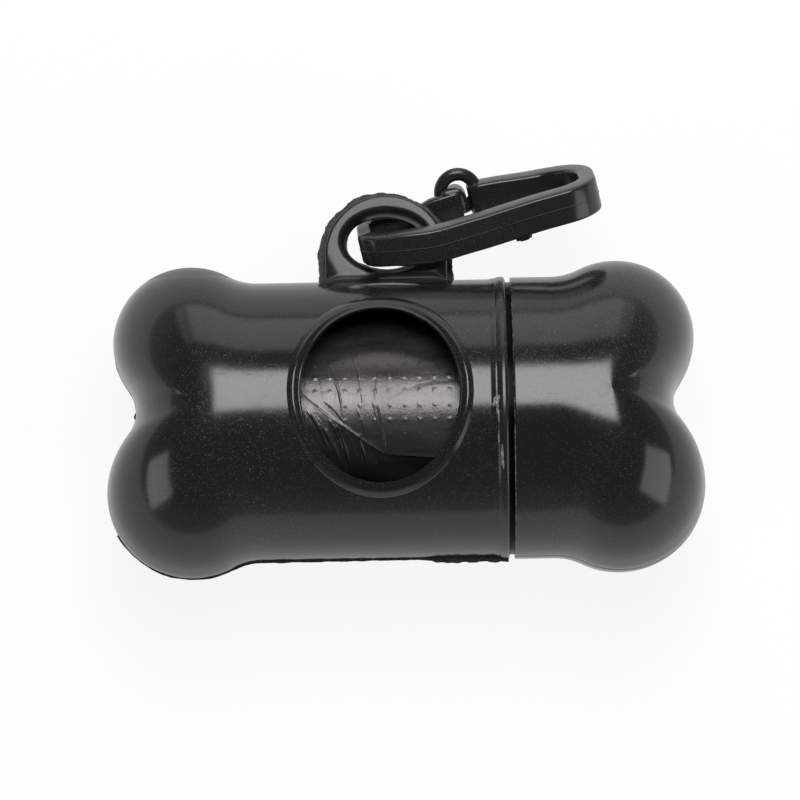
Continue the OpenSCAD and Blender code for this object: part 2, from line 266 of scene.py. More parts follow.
def half_shell(r, mouth_x, placed):
    """Half of an end with its neck, put in its place: outer and inner skins, parting strip
    and mouth. The ends' skins are smoothed, except near the parting edge."""
    rib_list = ribs(r, mouth_x)
    fall = FALL["cap" if mouth_x > 0 else "case"]
    bm = bmesh.new()
    outer = add_grid(bm, skin(rib_list, 0, fall, SEAM_GROOVE))
    inner = add_grid(bm, skin(rib_list, WALL, fall))
    for k in range(len(outer) - 1):
        bm.faces.new((outer[k][0], outer[k + 1][0], inner[k + 1][0], inner[k][0]))
    for end in (0, -1):
        for k in range(len(RISE) - 1):
            bm.faces.new((outer[end][k], outer[end][k + 1], inner[end][k + 1], inner[end][k]))
    bmesh.ops.remove_doubles(bm, verts=bm.verts, dist=1e-4)
    soft = [v for v in bm.verts if v.co.x > STRAIGHT_X and v.co.z > 1.0]
    before = [v.co.copy() for v in soft]
    for _ in range(SMOOTH_PASSES):
        bmesh.ops.smooth_vert(bm, verts=soft, factor=0.5,
                              use_axis_x=True, use_axis_y=True, use_axis_z=True)
    for v, co in zip(soft, before):
        v.co = co.lerp(v.co, ease(co.x, STRAIGHT_X + 0.5, HUB_X) * ease(co.z, 1.0, 4.0))
    bmesh.ops.transform(bm, matrix=placed, verts=bm.verts)
    bmesh.ops.recalc_face_normals(bm, faces=bm.faces)
    return bm


def cut(bm, tool):
    """Takes a closed tool mesh out of a closed mesh."""
    parts = []
    for name, made in (("cut_this", bm), ("cut_with", tool)):
        mesh = bpy.data.meshes.new(name)
        made.to_mesh(mesh)
        made.free()
        parts.append(show(name, mesh))
    boolean = parts[0].modifiers.new("cut", "BOOLEAN")
    boolean.operation, boolean.solver, boolean.object = "DIFFERENCE", "EXACT", parts[1]
    shown = parts[0].evaluated_get(bpy.context.evaluated_depsgraph_get())
    result = bmesh.new()
    result.from_mesh(shown.to_mesh())
    for o in parts:
        bpy.data.objects.remove(o)
    return result


def ellipse_at(t, w, h, grow):
    """A point on an ellipse, moved out by grow."""
    p = np.array((w / 2 * math.cos(t), h / 2 * math.sin(t)))
    out = np.array((math.cos(t) / w, math.sin(t) / h))
    return p + grow * out / np.hypot(*out)


def elliptic_column(centre, w, h, z0, z1, grow, steps=160):
    """A closed elliptic column, moved out by grow."""
    bm = bmesh.new()
    turns = np.linspace(0, 2 * math.pi, steps, endpoint=False)
    loops = []
    for z in (z0, z1):
        loops.append([bm.verts.new((*(np.array(centre) + ellipse_at(t, w, h, grow)), z))
                      for t in turns])
    for i in range(steps):
        j = (i + 1) % steps
        bm.faces.new((loops[0][i], loops[0][j], loops[1][j], loops[1][i]))
    bm.faces.new(loops[0][::-1])
    bm.faces.new(loops[1])
    return bm


# ---- materials ----

class Shading:
    """The nodes of a material or world, with short calls for the ones used here."""

    def __init__(self, owner):
        owner.use_nodes = True
        self.owner, self.nodes, self.links = owner, owner.node_tree.nodes, owner.node_tree.links

    def feed(self, socket, value):
        """Links an output into a socket, or sets a number or a colour there."""
        if isinstance(value, bpy.types.NodeSocket):
            self.links.new(value, socket)
        else:
            socket.default_value = (*value, 1) if isinstance(value, tuple) else value

    def put(self, name, value):
        """Feeds an input of the material's shader."""
        self.feed(self.nodes["Principled BSDF"].inputs[name], value)

    def texture(self, kind, scale, stretch=(1, 1, 1), turn=(0, 0, 0), **sockets):
        """A procedural texture in object space, in 1/metres, stretched and turned."""
        coordinates = self.nodes.new("ShaderNodeTexCoord")
        mapping = self.nodes.new("ShaderNodeMapping")
        mapping.inputs["Scale"].default_value = stretch
        mapping.inputs["Rotation"].default_value = turn
        texture = self.nodes.new(kind)
        self.feed(texture.inputs["Scale"], scale)
        for socket, value in sockets.items():
            self.feed(texture.inputs[socket], value)
        self.links.new(coordinates.outputs["Object"], mapping.inputs["Vector"])
        self.links.new(mapping.outputs["Vector"], texture.inputs["Vector"])
        return texture.outputs

    def noise(self, *at, **sockets):
        """The value of a noise texture."""
        return self.texture("ShaderNodeTexNoise", *at, **sockets)["Fac"]

    def ramp(self, source, stops):
        """A colour ramp over a value; stops are (position, grey or colour)."""
        made = self.nodes.new("ShaderNodeValToRGB")
        for k, (position, colour) in enumerate(stops):
            stop = made.color_ramp.elements[k] if k < 2 else made.color_ramp.elements.new(position)
            stop.position = position
            stop.color = (colour,) * 3 + (1,) if isinstance(colour, float) else (*colour, 1)
        self.links.new(source, made.inputs["Fac"])
        return made.outputs["Color"]

    def mix(self, factor, a, b, kind="MIX"):
        """Mixes two colours; any input may be an output or a value."""
        made = self.nodes.new("ShaderNodeMix")
        made.data_type, made.blend_type = "RGBA", kind
        for k, value in ((0, factor), (6, a), (7, b)):
            self.feed(made.inputs[k], value)
        return made.outputs[2]

    def times(self, a, b):
        return self.mix(1.0, a, b, "MULTIPLY")

    def lighter(self, a, b):
        return self.mix(1.0, a, b, "LIGHTEN")

    def specks(self, scale, near, kept, strong=1.0):
        """Specks that fade between the near distances; kept fades out the rest of them."""
        cells = self.texture("ShaderNodeTexVoronoi", scale)
        here = self.ramp(cells["Distance"], [(near[0], strong), (near[1], 0.0)])
        return self.times(here, self.ramp(cells["Color"], [(kept[0], 0.0), (kept[1], 1.0)]))

    def bump(self, height, distance, strength=1.0, under=None):
        """A normal from a height, of a distance in metres, over another normal."""
        made = self.nodes.new("ShaderNodeBump")
        self.feed(made.inputs["Distance"], distance)
        self.feed(made.inputs["Strength"], strength)
        self.feed(made.inputs["Height"], height)
        if under:
            self.feed(made.inputs["Normal"], under)
        return made.outputs["Normal"]

    def maths(self, kind, a, b):
        made = self.nodes.new("ShaderNodeMath")
        made.operation = kind
        self.feed(made.inputs[0], a)
        self.feed(made.inputs[1], b)
        return made.outputs[0]

    def between(self, value, low, high):
        """1 where a value lies between two others."""
        return self.maths("MULTIPLY", self.maths("GREATER_THAN", value, low),
                          self.maths("LESS_THAN", value, high))

    def split(self, space):
        """The coordinates of a space, as X, Y and Z."""
        coordinates = self.nodes.new("ShaderNodeTexCoord")
        made = self.nodes.new("ShaderNodeSeparateXYZ")
        self.links.new(coordinates.outputs[space], made.inputs[0])
        return made.outputs

    def choose(self, factor, a, b, out):
        """One shader or the other, into an output node of a kind."""
        made = self.nodes.new("ShaderNodeMixShader")
        for socket, value in zip(made.inputs, (factor, a.outputs[0], b.outputs[0])):
            self.links.new(value, socket)
        self.links.new(made.outputs[0], self.nodes.new(out).inputs["Surface"])


def new_material(name):
    return Shading(bpy.data.materials.new(name))


# The third tone is painted shade, for the floor of the seam's gap.
DUST_TONE, CUT_EDGE_TONE, GAP_SHADE_TONE = (0.34, 0.33, 0.31), (0.17, 0.155, 0.13), (0.003,) * 3
SATIN, SCRATCHED, DUSTY = ((rough,) * 3 for rough in (0.33, 0.42, 0.8))
# Specks of dust: scale, radius, share of them left out, strength
SPECKS = ((1500, 0.12, 0.80, 1.0), (3000, 0.20, 0.62, 0.6), (4600, 0.28, 0.5, 0.35))


def moulded_plastic(name, colour, rough, dust=0.5, mouth=None, gap=None, satin=None):
    """Glossy black moulding: faint flow waves, scuffs, scratches and pale dust. Between the two
    mouth positions along x its edge is rough; between the two gap positions it is painted near
    black, with its reflection turned down, as painted shade in the gap; and between the two
    satin positions along y it is duller."""
    made = new_material(name)
    at = made.split("Object")
    dirt = made.noise(70, Detail=6.0)
    patchy = made.ramp(dirt, [(0.36, 0.25), (0.62, 1.0)])
    dusty = (0.0, 0.0, 0.0)
    for scale, radius, left_out, strong in SPECKS:
        dusty = made.lighter(dusty, made.specks(scale, (radius, radius + 0.1),
                                                (left_out, left_out + 0.25), strong))
    dusty = made.times(dusty, patchy)
    streaks = [made.noise(260, (1, 14, 5), (0.2 * k, 0.1, turn), Detail=3.0)
               for k, turn in enumerate((0.5, 1.9, 2.6))]
    scuffs = [made.ramp(streak, [(0.70, 0.0), (0.76, 1.0)]) for streak in streaks]
    scratched = made.times(made.lighter(made.lighter(scuffs[0], scuffs[1]), scuffs[2]), patchy)
    base = made.mix(dirt, tuple(0.8 * c for c in colour), tuple(1.25 * c for c in colour))
    pale = made.mix(dust, (0.0, 0.0, 0.0), dusty)
    base = made.mix(pale, base, DUST_TONE)
    grain = made.noise(1400, Detail=4.0)
    if mouth:
        broken = made.ramp(grain, [(0.46, 0.0), (0.60, 1.0)])
        base = made.mix(made.times(made.between(at["X"], *mouth), broken), base, CUT_EDGE_TONE)
    # Painted shade: between the gap positions the colour is near black and the reflection is turned
    # down, for the shade in the seam's gap.
    if gap:
        gap_shade = made.between(at["X"], *gap)
        base = made.mix(gap_shade, base, GAP_SHADE_TONE)
        made.put("Specular IOR Level", made.mix(gap_shade, (0.5,) * 3, (0.03,) * 3))
    made.put("Base Color", base)
    smooth = made.ramp(made.mix(0.5, dirt, grain), [(0.32, rough * 0.8), (0.68, rough * 1.35)])
    if satin:
        smooth = made.mix(made.between(at["Y"], *satin), smooth, SATIN)
    made.put("Roughness", made.mix(pale, made.mix(scratched, smooth, SCRATCHED), DUSTY))
    low = made.bump(made.noise(120, Detail=2.0), 0.000012)
    fine = made.bump(grain, 0.0000015, under=low)
    made.put("Normal", made.bump(scratched, 0.000004, 0.6, fine))
    made.put("IOR", 1.56)
    return made.owner


def patchy_material(name, scale, detail, stops, relief, rough):
    """A matt, lumpy material, patchy by the ramp's stops."""
    made = new_material(name)
    patches = made.noise(scale, Detail=detail)
    made.put("Base Color", made.ramp(patches, stops))
    made.put("Normal", made.bump(patches, relief))
    made.put("Roughness", rough)
    return made.owner


def film_material(name, dark, light):
    """Thin dark film: a grainy sheen, fine wrinkles across and a little dust."""
    made = new_material(name)
    cloud = made.noise(220, (0.6, 2, 2), Detail=5.0)
    base = made.ramp(cloud, [(0.3, dark), (0.7, light)])
    dusty = made.specks(1800, (0.10, 0.16), (0.75, 0.9))
    made.put("Base Color", made.mix(dusty, base, (0.25, 0.24, 0.22)))
    made.put("Roughness", made.ramp(cloud, [(0.3, 0.22), (0.7, 0.32)]))
    low = made.bump(made.noise(420, (2.4, 0.35, 0.35), Detail=4.0), 0.00005, 0.8)
    made.put("Normal", made.bump(made.noise(3000, Detail=2.0), 0.000022, 0.8, low))
    made.put("IOR", 1.75)
    made.put("Specular Tint", (1.0, 0.97, 0.92))
    return made.owner


def card_material():
    """Raw cardboard tube: warm grey-brown with fibres and a spiral seam."""
    made = new_material("core_cardboard")
    fibre = made.noise(700, (0.4, 2, 2), Detail=6.0)
    seam = made.texture("ShaderNodeTexWave", 24, (1, 0.35, 0.35), Distortion=0.4)["Fac"]
    tone = made.ramp(fibre, [(0.25, (0.30, 0.22, 0.145)), (0.75, (0.50, 0.39, 0.27))])
    made.put("Base Color", made.times(tone, made.ramp(seam, [(0.02, 0.55), (0.06, 1.0)])))
    made.put("Normal", made.bump(fibre, 0.00006))
    made.put("Roughness", 0.88)
    return made.owner


LUG_FOOT, CAP_MOUTH = (AXIS[1] + NECK_R + 0.3) / 1000, CAP_START_X / 1000
# GAP: the span along x where the collar is painted dark, as painted shade in the seam's gap.
GAP = ((BODY_END_X + LIP_W - 0.03) / 1000, (CAP_START_X + 0.2) / 1000)
case_plastic = moulded_plastic("case_black", (0.016, 0.016, 0.0165), 0.15, satin=(LUG_FOOT, 1.0))
cap_plastic = moulded_plastic("cap_black", (0.016, 0.016, 0.0165), 0.15,
                              mouth=(CAP_MOUTH - 0.0001, CAP_MOUTH + 0.00012))
collar_plastic = moulded_plastic("collar_black", (0.018, 0.018, 0.0185), 0.2, gap=GAP)
clip_plastic = moulded_plastic("clip_black", (0.022, 0.022, 0.0225), 0.22, dust=0.35)
dried_glue = patchy_material("dried_glue", 3200, 4.0, [(0.35, 0.05), (0.60, 0.36)], 0.00005, 0.6)
moulding_flash = patchy_material("moulding_flash", 1500, 5.0,
                                 [(0.35, (0.012, 0.010, 0.009)), (0.75, (0.09, 0.060, 0.045))],
                                 0.0001, 0.55)
# The same black film in two tones: the wound roll's darker tone is painted shade, and the leading
# bag's lighter tone is painted light.
film_in_painted_shade = film_material("bag_film_painted_shade", (0.010, 0.010, 0.010), (0.024, 0.023, 0.021))
film_painted_lit = film_material("bag_film_painted_lit", (0.026, 0.026, 0.025), (0.050, 0.049, 0.046))
cardboard = card_material()

# ---- case: shells, window rim and lug ----

TO_BODY = Matrix.Scale(-1, 4, (1, 0, 0))
TO_REAR = Matrix.Scale(-1, 4, (0, 0, 1))


def window_rim():
    """Moulded rim: one rounded ridge, falling inwards to a narrow edge that rolls in."""
    profile = [(RIM_W + 0.1, -0.3), (RIM_W, 0.0), (1.75, 0.08), (1.55, 0.165), (1.38, 0.235),
               (1.25, 0.27), (1.12, 0.285), (1.0, 0.275), (0.86, 0.235), (0.68, 0.16),
               (0.5, 0.085), (0.36, 0.035), (0.27, 0.02), (0.17, 0.015), (0.09, -0.02),
               (0.03, -0.1), (0.0, -0.22), (0.0, -0.8), (0.0, -WALL + 0.1), (0.06, -WALL),
               (0.5, -WALL - 0.02), (RIM_W - 0.4, -WALL + 0.3)]
    bm = bmesh.new()
    grid = []
    for t in np.linspace(0, 2 * math.pi, 288, endpoint=False):
        row = []
        ragged = (0.16 * max(0, wobble(t * 6.0, 3.1)) if 0.1 < t < 1.1
                  else 0.03 * wobble(t * 9.0, 1.7))
        for out, up in profile + profile[:1]:
            grow = out - (ragged if out < 0.2 and up < 0.1 else 0)
            x, y = ellipse_at(t, WINDOW_W, WINDOW_H, grow) + (WINDOW_X, WINDOW_Y)
            row.append((x, y, math.sqrt((NECK_R + up) ** 2 - y ** 2)))
        grid.append(row)
    add_grid(bm, grid, wrap=True)
    return bm


def lug_plate(front):
    """Half of the lug: an arch with an eye, its edges rounded; built as nested loops."""
    bm = bmesh.new()
    steps = 200
    sign = 1 if front else -1

    def outer(t, inset):
        """Point on the arch's edge, drawn in: a half circle on a straight-sided foot."""
        r = LUG_R - inset
        foot = NECK_R - WALL / 2
        half_turn, side = math.pi * r, LUG_Y - foot
        total = half_turn + 2 * side + 2 * r
        s = t * total
        if s < half_turn:
            a = s / r
            return LUG_X + r * math.cos(a), LUG_Y + r * math.sin(a)
        s -= half_turn
        if s < side:
            return LUG_X - r, LUG_Y - s
        s -= side
        if s < 2 * r:
            return LUG_X - r + s, foot
        return LUG_X + r, foot + (s - 2 * r)

    def eye(t, inset):
        x, y = ellipse_at(2 * math.pi * t, EYE_W, EYE_H, -inset)
        return LUG_X + x, EYE_Y + y

    def face_z(x, y):
        """The face dips in the two lower corners, outside the ring round the eye."""
        away = math.hypot(x - LUG_X, y - EYE_Y + 0.6)
        outside, below = ease(away, LUG_R - 0.9, LUG_R + 1.6), ease(-y, -LUG_Y - 1, -LUG_Y + 2)
        return LUG_T - 0.55 * outside * below

    turns = np.linspace(0, 1, steps, endpoint=False)
    starts = [math.atan2(outer(t, 0)[1] - EYE_Y, outer(t, 0)[0] - LUG_X) / (2 * math.pi)
              for t in turns]
    loops = [[(*outer(t, 0), 0.0) for t in turns]]
    for z, inset in ((-0.38, 0.0), (-0.12, 0.08), (-0.02, 0.26)):
        rim = [outer(t, inset) for t in turns]
        loops.append([(x, y, sign * (face_z(x, y) + z)) for x, y in rim])
    edge, hole = [outer(t, 0.34) for t in turns], [eye(a, -0.25) for a in starts]
    for share in np.linspace(0, 1, 12):
        face = [(p[0] + (q[0] - p[0]) * share, p[1] + (q[1] - p[1]) * share)
                for p, q in zip(edge, hole)]
        loops.append([(x, y, sign * face_z(x, y)) for x, y in face])
    for z, inset in ((-0.05, 0.0), (-0.2, 0.24), (-0.5, 0.5), (-1.1, 0.8), (-LUG_T, 1.0)):
        loops.append([(*eye(a, inset), sign * (LUG_T + z)) for a in starts])
    grid = [[loop[i] for loop in loops] for i in range(steps)]
    rows = add_grid(bm, grid, wrap=True)
    for i in range(steps):
        a, b = rows[i], rows[(i + 1) % steps]
        bm.faces.new((a[0], b[0], b[-1], a[-1]))
    return bm


def lug_fillet(front):
    """Concave fillet where the lug's face runs into the neck."""
    bm = bmesh.new()
    sign = 1 if front else -1
    r = 1.5
    centre = (math.sqrt((NECK_R + r) ** 2 - (LUG_T + r) ** 2), LUG_T + r)
    a0, a1 = -math.pi / 2, math.atan2(-centre[1], -centre[0])
    grid = []
    for x in np.linspace(LUG_X - LUG_R + 0.1, LUG_X + LUG_R - 0.1, 60):
        end = min(x - LUG_X + LUG_R, LUG_X + LUG_R - x)
        small = min(1.0, 0.25 + end / 2.4)
        row = []
        for a in np.linspace(a0, a1, 10):
            y, z = centre[0] + r * math.cos(a), centre[1] + r * math.sin(a)
            y = NECK_R - 0.15 + (y - NECK_R + 0.15) * small
            z = LUG_T - 0.1 + (z - LUG_T + 0.1) * small
            row.append((x, y, sign * z))
        row += [(x, NECK_R - 1.2, sign * (LUG_T + 0.6)), (x, NECK_R - 0.8, sign * (LUG_T - 0.6)),
                row[0]]
        grid.append(row)
    rows = add_grid(bm, grid)
    for row in (rows[0], rows[-1]):
        bm.faces.new(row[:-1])
    return bm


def join(bm, *others):
    """Adds meshes to the first one."""
    for other in others:
        mesh = bpy.data.meshes.new("joined")
        other.to_mesh(mesh)
        other.free()
        bm.from_mesh(mesh)
        bpy.data.meshes.remove(mesh)
    return bm


front = cut(half_shell(NECK_R, -BODY_END_X, TO_BODY),
            elliptic_column((WINDOW_X, WINDOW_Y), WINDOW_W, WINDOW_H, 6, 26, grow=RIM_W * 0.5))
add_piece("case_front", join(front, window_rim(), lug_plate(True), lug_fillet(True)), case_plastic,
          "case", ["body_front_shell"])
rear = half_shell(NECK_R, -BODY_END_X, TO_REAR @ TO_BODY)
add_piece("case_rear", join(rear, lug_plate(False), lug_fillet(False)), case_plastic,
          "case", ["body_rear_shell"])


# ---- moulding flash along the parting plane ----

FLASH_Z = -0.3


def flash_strip(points, outward, width, seed, thick=0.3):
    """A ragged fin on the parting plane; width(k) gives its mean reach at each point."""
    bm = bmesh.new()
    grid = []
    for k, (p, out) in enumerate(zip(points, outward)):
        p, out = np.array(p), np.array(out) / np.hypot(*out)
        ragged = width(k) * (1 + 0.30 * wobble(k * 0.22, seed) + 0.10 * wobble(k * 0.9, seed + 9))
        edge = p + out * max(0.05, ragged)
        root = p - out * 0.4
        droop = 0.10 * wobble(k * 0.5, seed + 4)
        z = FLASH_Z + thick * 0.3 + droop
        grid.append([(*root, FLASH_Z), (*edge, z), (*edge, z + thick * 0.45),
                     (*root, FLASH_Z + thick), (*root, FLASH_Z)])
    close_ends(bm, add_grid(bm, grid))
    return bm


def lug_flash():
    """Round the arch, standing out past both plates, widest down its left side."""
    turns = np.linspace(0, math.pi, 130)
    points = [(LUG_X + LUG_R * math.cos(a), LUG_Y + LUG_R * math.sin(a)) for a in turns]
    out = [(math.cos(a), math.sin(a)) for a in turns]
    feet = np.linspace(NECK_R - 0.2, LUG_Y, 24)[:-1]
    points = [(LUG_X + LUG_R, y) for y in feet] + points + [(LUG_X - LUG_R, y) for y in feet[::-1]]
    out = [(1, 0)] * len(feet) + out + [(-1, 0)] * len(feet)
    count = len(points)

    def width(k):
        scallop = 0.24 * max(0, wobble(k * 0.08, 8.2)) + 0.05 * wobble(k * 0.21, 1.4)
        top = 0.12 * math.exp(-((k / count - 0.55) / 0.16) ** 2)
        left, right = ease(k, count * 0.55, count * 0.8), 1 - ease(k, 0, 26)
        return 0.66 + top + 0.30 * left + 0.3 * right + scallop
    return flash_strip(points, out, width, 2.0)


def eye_flash():
    """A narrow fin inside the eye."""
    turns = np.linspace(0, 2 * math.pi, 150)
    points = [ellipse_at(t, EYE_W, EYE_H, -0.95) + (LUG_X, EYE_Y) for t in turns]
    out = [(-math.cos(t) / EYE_W, -math.sin(t) / EYE_H) for t in turns]
    return flash_strip(points, out, lambda k: 0.14 + 0.08 * math.sin(k * 0.2), 5.0, 0.22)


def underside_flash():
    """Below the case, from the lower lobe's end to the seam, thickest beside the seam."""
    turns = np.linspace(math.radians(28), math.acos((HUB_X - LOBE_X) / LOBE_R[-1]), 90)
    lobe = [(-LOBE_X - LOBE_R[-1] * math.cos(a), -LOBE_Y[-1] - LOBE_R[-1] * math.sin(a))
            for a in turns]
    xs = np.linspace(-HUB_X, BODY_END_X + 1.3, 210)[1:]
    points = lobe + [(x, -reach(-x, -1, NECK_R) if x < 0 else -NECK_R) for x in xs]
    out = [(-math.cos(a), -math.sin(a)) for a in turns] + [(0, -1)] * len(xs)

    def width(k):
        x = points[k][0]
        at_seam = ease(x, 2.0, 5.0)
        return (0.09 + 0.16 * ease(x, -34, -22) + 0.50 * at_seam
                + (0.20 - 0.14 * at_seam) * max(0, wobble(x * 0.35, 7.7)))
    return flash_strip(points, out, width, 11.0)


def end_flash():
    """Slivers left in the notch of the case's end."""
    outline = end_outline()
    middle = [(-x, y) for x, y in outline[52:88]]
    out = []
    for k in range(len(middle)):
        a, b = middle[max(0, k - 1)], middle[min(len(middle) - 1, k + 1)]
        out.append((-(abs(b[1] - a[1])) - 1e-3, -(b[0] - a[0]) * (1 if b[1] > a[1] else -1)))
    return flash_strip(middle, out, lambda k: 0.45 * max(0, wobble(k * 0.22, 3.3)) + 0.05, 17.0)


add_piece("case_flash", join(lug_flash(), eye_flash(), underside_flash(), end_flash()),
          moulding_flash, "case", sharp=60)


# ---- collar beside the seam, and the cap ----

def turned(profile, steps=256):
    """A ring along the bone from a closed outline in (radius, x)."""
    bm = bmesh.new()
    grid = [[(x, r * math.cos(a), r * math.sin(a)) for r, x in profile + profile[:1]]
            for a in np.linspace(0, 2 * math.pi, steps, endpoint=False)]
    add_grid(bm, grid, wrap=True)
    return bm


lip_x, lip_top = BODY_END_X + LIP_W, NECK_R + LIP_RISE
gap_r = NECK_R - 0.45
collar = turned([
    (15.8, BODY_END_X - 4.5), (NECK_R - WALL, BODY_END_X - 4.5),
    (NECK_R - WALL, BODY_END_X - 0.05), (NECK_R - 0.1, BODY_END_X - 0.04),
    (NECK_R + 0.14, BODY_END_X + 0.02), (NECK_R + 0.20, BODY_END_X + 0.12),
    (NECK_R + 0.27, BODY_END_X + 0.36), (lip_top - 0.03, BODY_END_X + 0.54),
    (lip_top, BODY_END_X + 0.68), (lip_top, BODY_END_X + 1.02), (lip_top - 0.05, BODY_END_X + 1.18),
    (lip_top - 0.18, BODY_END_X + 1.34), (lip_top - 0.34, BODY_END_X + 1.42),
    (lip_top - 0.5, BODY_END_X + 1.45), (gap_r, BODY_END_X + 1.45), (gap_r, CAP_START_X - 0.04),
    (17.0, CAP_START_X - 0.04), (17.0, lip_x + 7.2), (16.8, lip_x + 7.4), (16.0, lip_x + 7.4),
    (15.8, lip_x + 7.2)])
add_piece("seam_collar", collar, collar_plastic, "case", ["neck_collar"])


# Dried smears of glue: x, bearing in degrees, half-length along x, half-width round the neck
SMEARS = [(12.75, 7.4, 0.34, 0.60), (12.45, 6.2, 0.22, 0.28), (13.15, 8.6, 0.16, 0.34),
          (12.95, 4.4, 0.14, 0.8), (13.1, 1.2, 0.10, 0.9), (13.05, -7.4, 0.09, 0.9),
          (13.5, -14.6, 0.18, 1.35), (13.65, -18.0, 0.12, 0.7), (12.9, 11.0, 0.06, 0.5)]


def glue_smears():
    """Thin smears beside the lip, as low lumps on the surface."""
    made = []
    for k, (x, degrees, along, round_) in enumerate(SMEARS):
        smear = bmesh.new()
        bmesh.ops.create_icosphere(smear, subdivisions=3, radius=1)
        for v in smear.verts:
            shake = 1 + 0.55 * wobble(*[1.9 * c + 1.0 + k for c in v.co])
            a = math.radians(degrees - 9) + v.co.y * round_ * shake / NECK_R
            at_x = x + v.co.x * along * shake
            risen = 0.30 * ease(at_x, BODY_END_X - 1.2, BODY_END_X + 0.8)
            r = NECK_R + 0.03 + risen + 0.05 * v.co.z
            v.co = (at_x, r * math.sin(a), r * math.cos(a))
        made.append(smear)
    return join(*made)


add_piece("seam_glue", glue_smears(), dried_glue, "case")

AT_REST = Matrix.Rotation(CAP_TURN, 4, "X")
for half, name, node in ((Matrix.Identity(4), "cap_front", "cap_front_shell"),
                         (TO_REAR, "cap_rear", "cap_rear_shell")):
    add_piece(name, half_shell(CAP_R, CAP_START_X, AT_REST @ half), cap_plastic,
              "cap", [node])
for node, material in (("cap_sleeve", collar_plastic), ("roll_core", cardboard)):
    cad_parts[node].data.materials.clear()
    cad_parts[node].data.materials.append(material)


# ---- bags: the wound roll and its loose leading end ----

DOT_PITCH, DOT_HEIGHT = 2.1, 0.045
CORE_R, END_RINGS = 7.55, 45
# Where the film is drawn finely: behind the window, by x and by angle in degrees
FINE_X0, FINE_X1, FINE_ANGLE = -15, 8.5, 60
TAIL_TOP = 66


def on_roll(x, degrees, r):
    """A point on the roll, by its angle from the case's up direction towards the lug."""
    a = math.radians(degrees)
    return x, r * math.sin(a), r * math.cos(a) - ROLL_DROP


def emboss(x, degrees):
    """Height of the rows of small embossed dots."""
    u = x / DOT_PITCH
    v = math.radians(degrees) * ROLL_R / DOT_PITCH
    du, dv = u - round(u), v - round(v)
    return DOT_HEIGHT * math.exp(-(du ** 2 + dv ** 2) / 0.014)


# Slack ridges in the film, as (x, angle) at both ends, half-width and height
BAG_RIDGES = [((-10.4, 24), (-8.9, -2), 0.07, 0.05), ((-10.0, 16), (-8.6, -8), 0.06, 0.04),
              ((-7.3, 29), (-5.9, 0), 0.07, 0.05), ((-6.7, 22), (-5.6, -3), 0.06, 0.035),
              ((-4.0, 27), (-4.3, 2), 0.07, 0.05), ((-3.9, 0), (-2.9, -26), 0.10, 0.13),
              ((-4.5, 2), (-3.5, -24), 0.07, 0.06), ((-6.7, -2), (-5.2, -24), 0.09, 0.05),
              ((-12.4, 18), (-11.4, 2), 0.06, 0.03), ((-11.2, 2), (-8.6, -9), 0.10, 0.08)]
ROLL_RIDGES = [((-13.6, -3), (-11.0, -22), 0.12, 0.12), ((-12.4, -6), (-9.9, -26), 0.10, 0.11),
               ((-13.0, -6), (-10.6, -20), 0.14, 0.10), ((-10.6, -8), (-8.9, -24), 0.12, 0.12),
               ((-9.7, -11), (-8.0, -33), 0.09, 0.20), ((-11.2, -12), (-9.3, -31), 0.09, 0.10),
               ((-6.8, -16), (-5.7, -32), 0.08, 0.12), ((-8.4, -14), (-6.9, -30), 0.07, 0.07),
               ((-4.6, -24), (-3.6, -33), 0.07, 0.09)]


def ridges(x, degrees, lines):
    """Height of the slack ridges at a point."""
    total = 0
    for (x0, a0), (x1, a1), width, tall in lines:
        share = (a0 - degrees) / (a0 - a1)
        off = x - (x0 + (x1 - x0) * share + 0.25 * math.sin(share * 3.1))
        ends = ease(share, -0.08, 0.12) * (1 - ease(share, 0.85, 1.1))
        total += tall * ends * math.exp(-(off / width) ** 2)
    return total


def along_path(path, x):
    """Height of a broken line at x."""
    return float(np.interp(x, [p[0] for p in path], [p[1] for p in path]))


# Where the leading bag ends: along the fold on the left, then across. It is two layers
# thick below the second line.
FREE_EDGE = [(-14.9, 7.5), (-13.6, 3.0), (-10.7, -6.0), (-8.6, -11.4), (-6.0, -19.0), (-3.1, -26.5),
             (-1.0, -27.6), (4.3, -29.4), (8.0, -30.5)]
SECOND_EDGE = [(-14.9, 8.9), (-10.4, 7.6), (-5.9, 5.8), (-3.6, 2.8), (-2.2, 3.8), (-0.7, 6.4),
               (2.1, 10.8), (4.6, 12.2), (8.0, 12.8)]
TAIL_LEFT, TAIL_RIGHT = -14.6, 7.7


